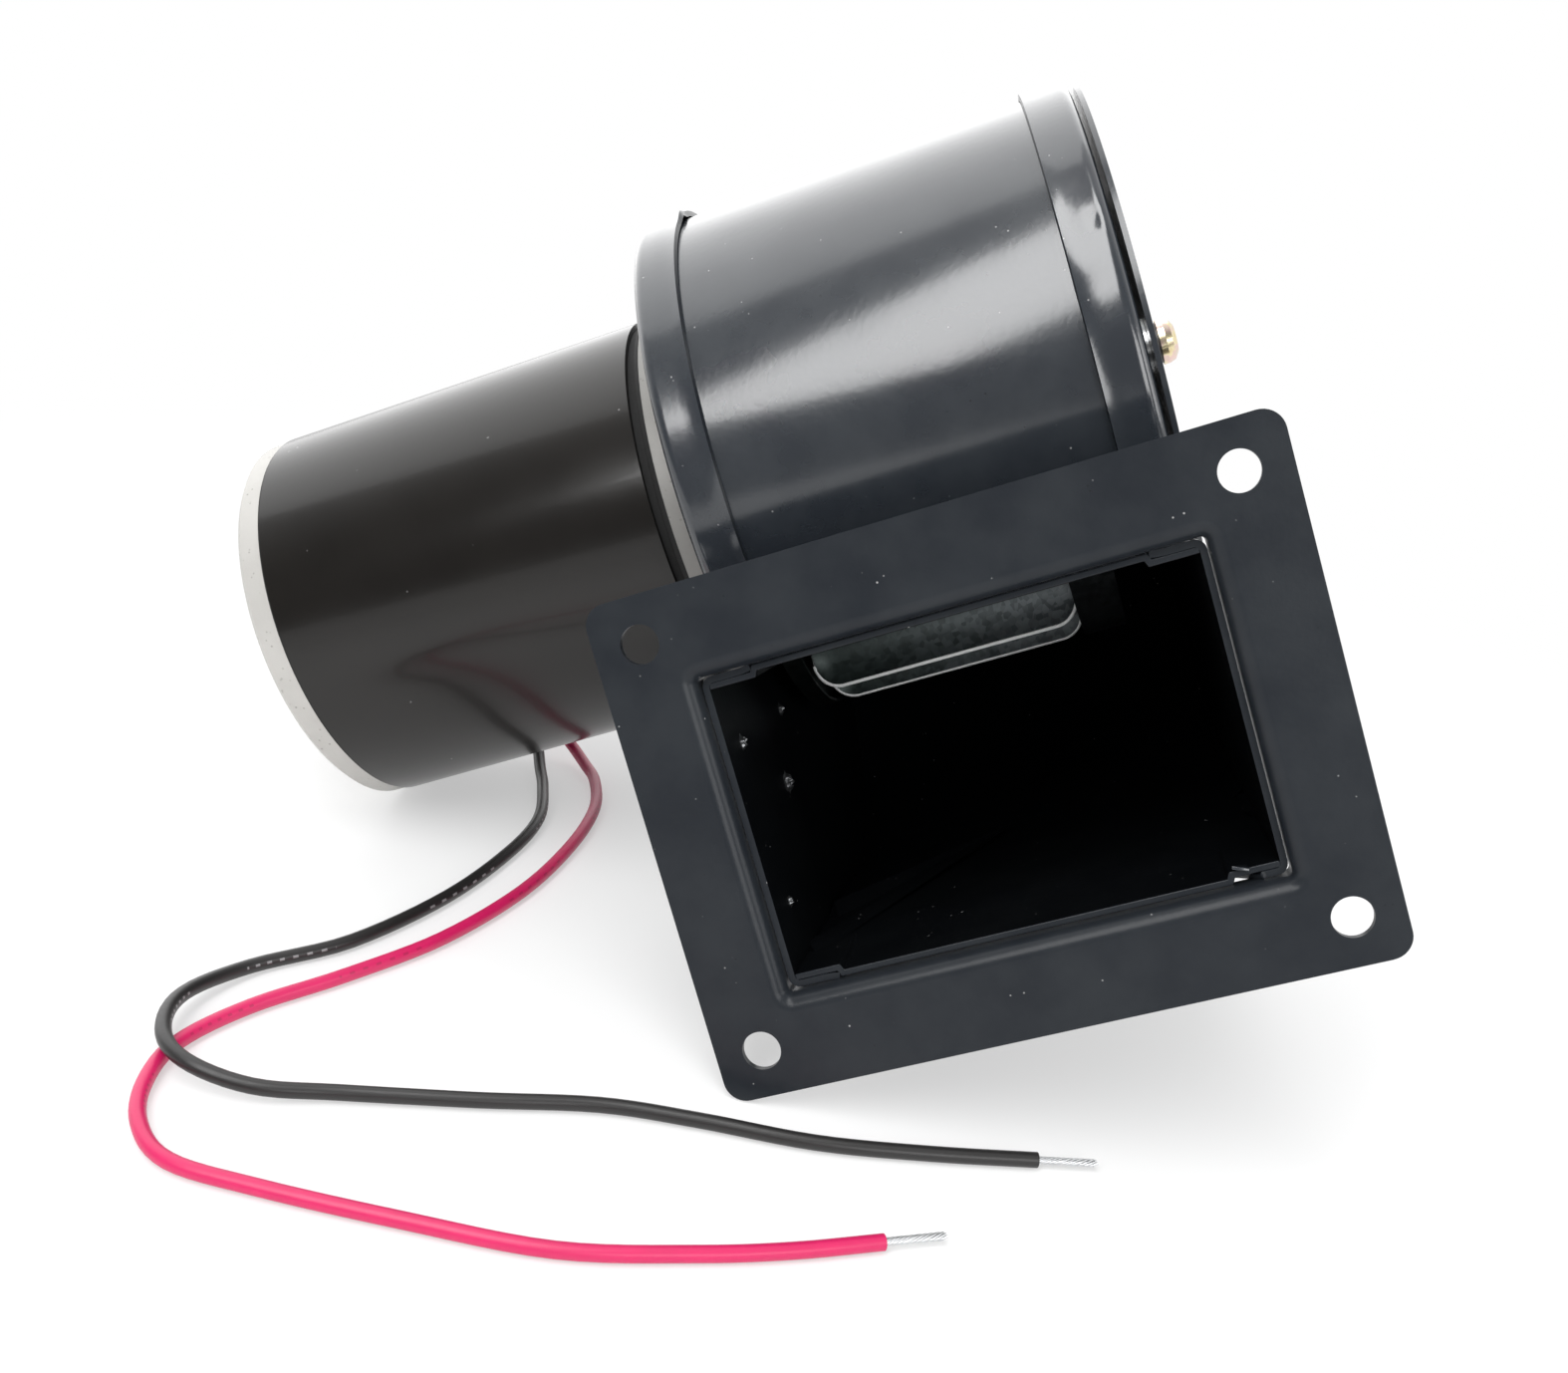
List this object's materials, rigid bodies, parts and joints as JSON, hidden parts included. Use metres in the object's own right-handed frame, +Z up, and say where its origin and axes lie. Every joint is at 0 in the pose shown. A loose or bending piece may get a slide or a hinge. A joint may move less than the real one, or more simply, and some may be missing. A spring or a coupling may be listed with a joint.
{
  "type": "dc blower fan",
  "caption": "Direct-current centrifugal blower: sheet-steel scroll with drum impeller, brushed motor, rectangular outlet flange and turning inlet damper.",
  "frame": {"origin": "on the bench under the middle of the blower, leads left out", "axes": "+Z up from the bench; +X roughly from the motor to the inlet; the outlet looks towards -Y, tilted down"},
  "size_m": [0.2343, 0.2259, 0.1731],
  "materials": {
    "black_paint": "satin",
    "motor_black": "gloss",
    "cast_aluminium": "satin",
    "galvanised_sheet": "satin",
    "yellow_zinc": "polished",
    "dark_steel": "satin",
    "bright_steel": "satin",
    "brass": "satin",
    "rivet_aluminium": "satin",
    "core_steel": "matte",
    "copper": "satin",
    "ferrite": "matte",
    "board": "matte",
    "carbon": "matte",
    "rubber_black": "matte",
    "lead_black": "satin",
    "lead_red": "satin",
    "tinned_copper": "satin"
  },
  "bodies": {
    "blower": {"outlet_flange": "black_paint", "scroll_wrap": "black_paint", "motor_side_cover": "black_paint", "inlet_cover": "black_paint", "damper_spacer": "bright_steel", "damper_screw": "yellow_zinc", "damper_lock_washer": "dark_steel", "damper_nut": "bright_steel", "front_bearing": "bright_steel", "rear_bearing": "bright_steel", "motor_tube": "motor_black", "front_bell": "cast_aluminium", "rear_end_cap": "cast_aluminium", "magnets": "ferrite", "brush_plate": "board", "brush_holders": "brass", "carbon_brushes": "carbon", "brush_springs": "bright_steel", "through_bolts": "bright_steel", "motor_screws": "bright_steel", "lead_grommet": "rubber_black", "black_lead": "lead_black", "red_lead": "lead_red", "black_tinned_end": "tinned_copper", "red_tinned_end": "tinned_copper"},
    "rotor": {"impeller_drum": "galvanised_sheet", "impeller_back_plate": "galvanised_sheet", "impeller_front_ring": "galvanised_sheet", "impeller_hub": "brass", "impeller_rivets": "rivet_aluminium", "grub_screw": "dark_steel", "motor_shaft": "bright_steel", "armature_core": "core_steel", "armature_windings": "copper", "commutator": "copper"},
    "damper": {"damper_plate": "black_paint"}
  },
  "joints": [
    {"name": "fan_axis", "type": "hinge", "parent": "blower", "child": "rotor", "pos_m": [0.02697, 0.01489, 0.10075], "axis": [0.8894, 0, 0.4571], "continuous": true},
    {"name": "damper_pivot", "type": "hinge", "parent": "blower", "child": "damper", "pos_m": [0.06162, -0.02626, 0.13275], "axis": [0.8894, 0, 0.4571], "range_deg": [0, 100]}
  ]
}
